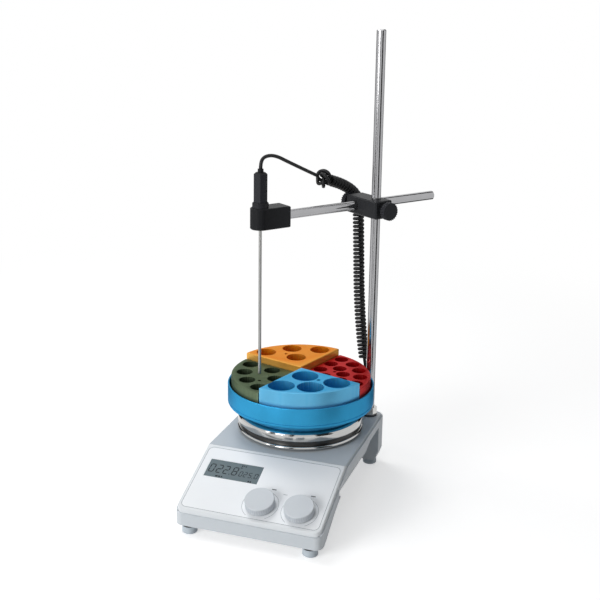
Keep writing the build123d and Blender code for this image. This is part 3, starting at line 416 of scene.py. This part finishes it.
# The knotted clump at the coil's upper end
KNOT_STEPS = 40
KNOT_LOOPS = 3
KNOT_FILL = 0.96
knot = []
for k in range(KNOT_STEPS):
    a = 2 * pi * KNOT_LOOPS * KNOT_FILL * k / KNOT_STEPS + 0.6
    b = a * 4 / 3
    wide = (6.3 + 2.7 * cos(b)) * MM
    knot.append(clump + SIDE * (-wide * cos(a)) + Vector((0, 0, wide * sin(a))) + ARM * 4.2 * sin(b) * MM)
knot_line = spline_points([coil_start] + knot + [lead_end], 12)
clump_cord = tube("cable_knot", knot_line, CABLE / 2, 12)
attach(clump_cord, "arm")
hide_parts("cable_clump")

lead_line = spline_points([
    lead_end,
    lead_fall,
    stand(25.4, -112, 356.8),
    stand(22.6, -126, 357.8),
    lead_start + Vector((0, 0, 7.6)) * MM,
    lead_start,
])
lead = tube("cable_lead_cord", lead_line, CABLE / 2)
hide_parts("cable_lead")
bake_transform(lead)


# TURNED PIECES, finer than the frame's own
def lathe(name, profile, body, node, segments=160, smooth_under=30):
    """A closed turned piece round the plate's axis; each profile point is (radius, height, material)."""
    mesh = bpy.data.meshes.new(name)
    bm = bmesh.new()
    finishes = []
    for r, z, finish in profile:
        if finish not in finishes:
            finishes.append(finish)
    rings = []
    for r, z, finish in profile:
        if r < 0.001:
            rings.append([bm.verts.new((0, PLATE[1], z * MM))])
        else:
            rings.append([bm.verts.new((r * MM * cos(2 * pi * k / segments),
                                        PLATE[1] + r * MM * sin(2 * pi * k / segments), z * MM))
                          for k in range(segments)])
    for i, (_, _, finish) in enumerate(profile):
        one, two = rings[i], rings[(i + 1) % len(rings)]
        if len(one) == 1 and len(two) == 1:
            continue
        for k in range(segments):
            n = (k + 1) % segments
            if len(one) == 1:
                corners = (one[0], two[k], two[n])
            elif len(two) == 1:
                corners = (one[k], one[n], two[0])
            else:
                corners = (one[k], one[n], two[n], two[k])
            face = bm.faces.new(corners)
            face.smooth = True
            face.material_index = finishes.index(finish)
    bmesh.ops.recalc_face_normals(bm, faces=bm.faces)
    for edge in bm.edges:
        if len(edge.link_faces) == 2 and edge.calc_face_angle() > radians(smooth_under):
            edge.smooth = False
    bm.to_mesh(mesh)
    bm.free()
    for finish in finishes:
        mesh.materials.append(finish)
    piece = bpy.data.objects.new(name, mesh)
    scene.collection.objects.link(piece)
    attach(piece, body)
    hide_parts(node)
    return piece


def bend(cr, cz, radius, first, last, finish, steps=6):
    """Profile points along an arc in radius and height."""
    found = []
    for k in range(steps + 1):
        a = radians(first + (last - first) * k / steps)
        found.append((cr + radius * cos(a), cz + radius * sin(a), finish))
    return found


PLATE_TOP = 79.4
TRAY_RADIUS, TRAY_INSIDE, TRAY_FLOOR = 78.4, 76.6, 13.7
tray_profile = [(0, PLATE_TOP, tray_blue), (60.0, PLATE_TOP, tray_blue)]
tray_profile += bend(60.5, PLATE_TOP + 1.6, 1.6, -80, -35, tray_blue, 4)
tray_profile += bend(75.2, PLATE_TOP + 12.2, 3.2, -35, 0, tray_blue, 5)
tray_profile += [
    (TRAY_RADIUS, PLATE_TOP + 13.3, tray_blue), (77.9, PLATE_TOP + 13.6, tray_blue),
    (77.9, PLATE_TOP + 13.8, tray_blue), (TRAY_RADIUS, PLATE_TOP + 14.1, tray_blue),
]
tray_profile += bend(77.7, PLATE_TOP + 30.7, 0.7, 0, 90, tray_blue, 4)
tray_profile += bend(77.2, PLATE_TOP + 30.8, 0.6, 90, 180, tray_blue, 4)
tray_profile += [(TRAY_INSIDE, PLATE_TOP + TRAY_FLOOR, tray_blue), (0, PLATE_TOP + TRAY_FLOOR, tray_blue)]
lathe("tray_turned", tray_profile, "tray", "tray")

PLATE_LOW = 70.2
DISC_HOLLOW, HOLLOW_RADIUS = 3.2, 61.5
disc_profile = [(0, PLATE_LOW + DISC_HOLLOW, polished), (HOLLOW_RADIUS, PLATE_LOW + DISC_HOLLOW, polished),
                (HOLLOW_RADIUS, PLATE_LOW, polished)]
disc_profile += bend(66.5, PLATE_LOW + 1.0, 1.0, -90, 0, polished, 5)
disc_profile += bend(64.3, PLATE_TOP - 3.2, 3.2, 0, 90, polished, 10)
disc_profile += [(0, PLATE_TOP, polished)]
lathe("hotplate_disc", disc_profile, "base", "hotplate")

RING_LOW, RING_TOP = 60.7, 64.8
NECK_RADIUS, NECK_INSIDE, SHEET = 63.5, 62.3, 1.2
skirt_profile = [(20, RING_TOP - SHEET, polished), (NECK_INSIDE, RING_TOP - SHEET, polished),
                 (NECK_INSIDE, RING_LOW, polished)]
skirt_profile += bend(65.45, RING_LOW + 2.05, 2.05, -90, 90, polished, 12)
# Painted shade: the neck's faces take the dark steel that stands in for its shade
skirt_profile += [(NECK_RADIUS, RING_TOP, neck_shade_steel), (NECK_RADIUS, PLATE_LOW, neck_shade_steel),
                  (NECK_INSIDE, PLATE_LOW, neck_shade_steel)]
skirt_profile += [(NECK_INSIDE, RING_TOP, polished), (20, RING_TOP, polished)]
lathe("plate_skirt_rolled", skirt_profile, "base", "plate_skirt")


# PANEL: printed marks, a painted shadow line and the display's figures lie on the sloped panel
PANEL_ANGLE = radians(21.5)
PANEL_X = Vector((1, 0, 0))
PANEL_UP = Vector((0, cos(PANEL_ANGLE), sin(PANEL_ANGLE)))
PANEL_OUT = Vector((0, -sin(PANEL_ANGLE), cos(PANEL_ANGLE)))
PANEL_ORIGIN = Vector((0, -33.0, 59.2)) * MM


def on_panel(x, s, out=0.0):
    """A point on the panel: x across it, s up its slope from the crease, out from its face, in mm."""
    return PANEL_ORIGIN + (PANEL_X * x + PANEL_UP * s + PANEL_OUT * out) * MM


def plates(name, outlines, material, out, thick=0.04):
    """Thin shapes on the panel, such as print, display figures and a painted shadow line: each outline is a
    list of (x, s) points.
    """
    mesh = bpy.data.meshes.new(name)
    bm = bmesh.new()
    for outline in outlines:
        top = [bm.verts.new(on_panel(x, s, out + thick)) for x, s in outline]
        low = [bm.verts.new(on_panel(x, s, out)) for x, s in outline]
        bm.faces.new(top)
        for k in range(len(top)):
            n = (k + 1) % len(top)
            bm.faces.new((top[n], top[k], low[k], low[n]))
    bmesh.ops.recalc_face_normals(bm, faces=bm.faces)
    bm.to_mesh(mesh)
    bm.free()
    mesh.materials.append(material)
    piece = bpy.data.objects.new(name, mesh)
    scene.collection.objects.link(piece)
    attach(piece, "base")


def arc_band(cx, cs, radius, width, first, last, steps=48):
    """A thin arc's outline round (cx, cs)."""
    outer = []
    inner = []
    for k in range(steps + 1):
        a = radians(first + (last - first) * k / steps)
        outer.append((cx + (radius + width / 2) * cos(a), cs + (radius + width / 2) * sin(a)))
        inner.append((cx + (radius - width / 2) * cos(a), cs + (radius - width / 2) * sin(a)))
    quads = []
    for k in range(steps):
        quads.append([outer[k], outer[k + 1], inner[k + 1], inner[k]])
    return quads


def bar(x, s, width, height):
    """A rectangle's outline, centred on (x, s)."""
    return [(x - width / 2, s - height / 2), (x + width / 2, s - height / 2),
            (x + width / 2, s + height / 2), (x - width / 2, s + height / 2)]


KNOB_S = -66.5
KNOB_X = (6.8, 47.1)
OVERLAY_TOP = 0.02

# Seven-segment figures on the display
DISPLAY_X, DISPLAY_S = -34.5, -30.75
SEGMENTS = {"0": "abcdef", "2": "abdeg", "5": "acdfg", "8": "abcdefg"}


def digit(x, s, width, height, thick, figure):
    """The lit segments of one figure whose lower left corner is (x, s), leaning a little."""
    lean = 0.10
    half = height / 2
    gap = thick * 0.18

    def flat(y):
        return [(gap + thick / 2, y), (thick, y + thick / 2), (width - thick, y + thick / 2),
                (width - gap - thick / 2, y), (width - thick, y - thick / 2), (thick, y - thick / 2)]

    def tall(xc, y0, y1):
        low, high, side = y0 + gap, y1 - gap, thick / 2
        return [(xc, low), (xc + side, low + side), (xc + side, high - side),
                (xc, high), (xc - side, high - side), (xc - side, low + side)]

    shapes = {
        "a": flat(height - thick / 2), "d": flat(thick / 2), "g": flat(half),
        "b": tall(width - thick / 2, half, height - thick / 2),
        "c": tall(width - thick / 2, thick / 2, half),
        "e": tall(thick / 2, thick / 2, half),
        "f": tall(thick / 2, half, height - thick / 2),
    }
    return [[(x + px + lean * py, s + py) for px, py in shapes[name]] for name in SEGMENTS[figure]]


DISPLAY_WIDTH, DISPLAY_HEIGHT = 57.5, 23.5


def on_display(u, v):
    """A point of the display from its upper left corner, as shares of its width and height."""
    return DISPLAY_X + (u - 0.5) * DISPLAY_WIDTH, DISPLAY_S + (0.5 - v) * DISPLAY_HEIGHT


def row_of_figures(text, centres, v, width, height, thick):
    """The lit segments of a row of figures on the display."""
    shapes = []
    for figure, u in zip(text, centres):
        x, y = on_display(u, v)
        shapes += digit(x - width / 2, y - height / 2, width, height, thick, figure)
    return shapes


large = row_of_figures("0228", (0.082, 0.222, 0.354, 0.515), 0.49, 5.9, 11.2, 1.15)
large.append(bar(*on_display(0.437, 0.70), 1.1, 1.1))
small = row_of_figures("0250", (0.640, 0.722, 0.812, 0.925), 0.575, 3.6, 7.0, 0.75)
small.append(bar(*on_display(0.868, 0.705), 0.75, 0.75))
marks = []
for u, v, width, height in ((0.235, 0.90, 2.6, 1.7), (0.285, 0.90, 2.2, 1.7), (0.330, 0.90, 1.4, 1.7),
                            (0.615, 0.13, 1.3, 1.9), (0.650, 0.12, 1.3, 1.3), (0.685, 0.14, 1.0, 1.9),
                            (0.612, 0.245, 2.0, 1.2), (0.835, 0.92, 1.5, 1.9), (0.872, 0.92, 1.3, 1.9)):
    marks.append(bar(*on_display(u, v), width, height))
GLASS_TOP = -0.2
plates("display_figures", large + small + marks, segment_ink, GLASS_TOP)


# Painted shadow: a fine grey line where the overlay ends, standing in for the shade at its edge
def rounded_band(half_x, low, high, corner, width, steps=8):
    """A thin closed band along a rounded rectangle on the panel, as quads."""
    rings = []
    for shift in (width / 2, -width / 2):
        ring = []
        for cx, cs, first in ((half_x - corner, high - corner, 0), (corner - half_x, high - corner, 90),
                              (corner - half_x, low + corner, 180), (half_x - corner, low + corner, 270)):
            for k in range(steps + 1):
                a = radians(first + 90 * k / steps)
                ring.append((cx + (corner + shift) * cos(a), cs + (corner + shift) * sin(a)))
        rings.append(ring)
    outer, inner = rings
    count = len(outer)
    return [[outer[k], outer[(k + 1) % count], inner[(k + 1) % count], inner[k]] for k in range(count)]


PANEL_RUN = 83.2
PANEL_LENGTH = PANEL_RUN / cos(PANEL_ANGLE)
HALF_WIDTH, EDGE_MARGIN = 75.5, 4.6
edge_shadow_line = rounded_band(HALF_WIDTH - EDGE_MARGIN, EDGE_MARGIN - PANEL_LENGTH, -EDGE_MARGIN + 1.2, 5.4, 0.45)
plates("overlay_edge_shadow_line", edge_shadow_line, print_and_shadow_grey, OVERLAY_TOP - 0.02, 0.03)

# Printed arcs, tick dashes and indicator bars round the knobs
printed = []
for x in KNOB_X:
    printed += arc_band(x, KNOB_S, 18.2, 0.35, -58, 238)
plates("knob_scale_arcs", printed, print_and_shadow_grey, OVERLAY_TOP, 0.03)
lamps = [bar(x + 7.2, KNOB_S + 21.4, 4.6, 1.1) for x in KNOB_X]
plates("indicator_bars", lamps, print_dark, OVERLAY_TOP, 0.05)
between_knobs = (KNOB_X[0] + KNOB_X[1]) / 2
plates("middle_dash", [bar(between_knobs, KNOB_S + 17.5, 4.2, 0.5)], print_and_shadow_grey, OVERLAY_TOP, 0.03)


# LIGHT: a white studio with a large soft lamp above and behind, and fill from the front
FLOOR_HALF = 6.0
FLOOR_GREY = 0.82
FLOOR_GLOW = 0.52
NEAR_FLOOR, FAR_FLOOR = 0.35, 1.1
WORLD_LIGHT = 0.20


def shows_white(tree):
    """1 for rays from the camera, or sent on by polished and clear surfaces; 0 for all others."""
    rays = tree.nodes.new("ShaderNodeLightPath")
    found = rays.outputs["Is Camera Ray"]
    for ray in ("Is Glossy Ray", "Is Transmission Ray"):
        most = tree.nodes.new("ShaderNodeMath")
        most.operation = "MAXIMUM"
        tree.links.new(found, most.inputs[0])
        tree.links.new(rays.outputs[ray], most.inputs[1])
        found = most.outputs[0]
    return found


white = bpy.data.materials.new("studio_white")
white.use_nodes = True
tree = white.node_tree
tree.nodes.clear()
out = tree.nodes.new("ShaderNodeOutputMaterial")
diffuse = tree.nodes.new("ShaderNodeBsdfDiffuse")
diffuse.inputs["Color"].default_value = (FLOOR_GREY, FLOOR_GREY, FLOOR_GREY, 1)
glow = tree.nodes.new("ShaderNodeEmission")
glow.inputs["Color"].default_value = (1, 1, 1, 1)
glow.inputs["Strength"].default_value = FLOOR_GLOW
added = tree.nodes.new("ShaderNodeAddShader")
tree.links.new(diffuse.outputs["BSDF"], added.inputs[0])
tree.links.new(glow.outputs["Emission"], added.inputs[1])
# Further from the object the lamps fall off, so the floor's own white takes over
place = tree.nodes.new("ShaderNodeTexCoord")
reach = tree.nodes.new("ShaderNodeVectorMath")
reach.operation = "LENGTH"
tree.links.new(place.outputs["Object"], reach.inputs[0])
away = tree.nodes.new("ShaderNodeMapRange")
away.interpolation_type = "SMOOTHSTEP"
away.inputs["From Min"].default_value = NEAR_FLOOR
away.inputs["From Max"].default_value = FAR_FLOOR
tree.links.new(reach.outputs["Value"], away.inputs["Value"])
far_white = tree.nodes.new("ShaderNodeEmission")
far_white.inputs["Strength"].default_value = 1.0
shown = tree.nodes.new("ShaderNodeMixShader")
tree.links.new(away.outputs["Result"], shown.inputs["Fac"])
tree.links.new(added.outputs["Shader"], shown.inputs[1])
tree.links.new(far_white.outputs["Emission"], shown.inputs[2])
blend_floor = tree.nodes.new("ShaderNodeMixShader")
tree.links.new(shows_white(tree), blend_floor.inputs["Fac"])
tree.links.new(diffuse.outputs["BSDF"], blend_floor.inputs[1])
tree.links.new(shown.outputs["Shader"], blend_floor.inputs[2])
tree.links.new(blend_floor.outputs["Shader"], out.inputs["Surface"])
floor_mesh = bpy.data.meshes.new("floor")
floor_mesh.from_pydata(
    [(FLOOR_HALF * x, FLOOR_HALF * y, 0) for x, y in ((-1, -1), (1, -1), (1, 1), (-1, 1))],
    [], [(0, 1, 2, 3)])
floor_mesh.materials.append(white)
floor = bpy.data.objects.new("floor", floor_mesh)
scene.collection.objects.link(floor)

world = bpy.data.worlds.new("studio")
scene.world = world
world.use_nodes = True
wt = world.node_tree
wt.nodes.clear()
wout = wt.nodes.new("ShaderNodeOutputWorld")
lit = wt.nodes.new("ShaderNodeBackground")
lit.inputs["Color"].default_value = (0.97, 0.985, 1.0, 1)
lit.inputs["Strength"].default_value = WORLD_LIGHT
plain = wt.nodes.new("ShaderNodeBackground")
plain.inputs["Color"].default_value = (1, 1, 1, 1)
plain.inputs["Strength"].default_value = 1.0
wmix = wt.nodes.new("ShaderNodeMixShader")
wt.links.new(shows_white(wt), wmix.inputs["Fac"])
wt.links.new(lit.outputs["Background"], wmix.inputs[1])
wt.links.new(plain.outputs["Background"], wmix.inputs[2])
wt.links.new(wmix.outputs["Shader"], wout.inputs["Surface"])


def soft_lamp(name, place, aim, size, power):
    """A large square lamp that points at aim."""
    data = bpy.data.lights.new(name, "AREA")
    data.shape = "RECTANGLE"
    data.size, data.size_y = size
    data.energy = power
    lamp = bpy.data.objects.new(name, data)
    scene.collection.objects.link(lamp)
    lamp.location = place
    lamp.rotation_mode = "QUATERNION"
    lamp.rotation_quaternion = (Vector(aim) - Vector(place)).to_track_quat("-Z", "Y")


soft_lamp("key", (-0.9, 0.55, 1.7), (0.0, 0.02, 0.12), (0.9, 0.9), 11.5)
soft_lamp("top", (0.1, -0.2, 1.9), (0.0, 0.0, 0.1), (1.2, 1.2), 4.0)
soft_lamp("front", (-0.8, -1.55, 0.6), (0.0, 0.0, 0.15), (1.0, 0.8), 19.0)


card_black = bpy.data.materials.new("card_black")
card_black.use_nodes = True
card_shader = card_black.node_tree.nodes["Principled BSDF"]
card_shader.inputs["Base Color"].default_value = (0.01, 0.01, 0.01, 1)
card_shader.inputs["Roughness"].default_value = 1.0


def dark_card(name, corners):
    """A dark card at the studio's side that only shows in polished metal."""
    mesh = bpy.data.meshes.new(name)
    mesh.from_pydata(corners, [], [(0, 1, 2, 3)])
    mesh.materials.append(card_black)
    card = bpy.data.objects.new(name, mesh)
    scene.collection.objects.link(card)
    card.visible_camera = False
    card.visible_diffuse = False
    card.visible_shadow = False
    card.visible_transmission = False


CARD_NEAR, CARD_REACH, CARD_LOW, CARD_TOP = 0.30, 1.3, 0.002, 2.0
CARDS = ((-27, 15), (64, 13), (150, 12), (-122, 7), (-86, 4))
for number, (middle, spread) in enumerate(CARDS):
    ends = [radians(middle - spread), radians(middle + spread)]
    near = [(CARD_NEAR * cos(a), CARD_NEAR * sin(a), CARD_LOW) for a in ends]
    far = [(CARD_REACH * cos(a), CARD_REACH * sin(a), CARD_LOW) for a in ends]
    high = [(x, y, CARD_TOP) for x, y, _ in far]
    dark_card(f"card_{number}_low", [near[0], far[0], far[1], near[1]])
    dark_card(f"card_{number}_high", [far[0], far[1], high[1], high[0]])

scene.view_settings.view_transform = "Standard"
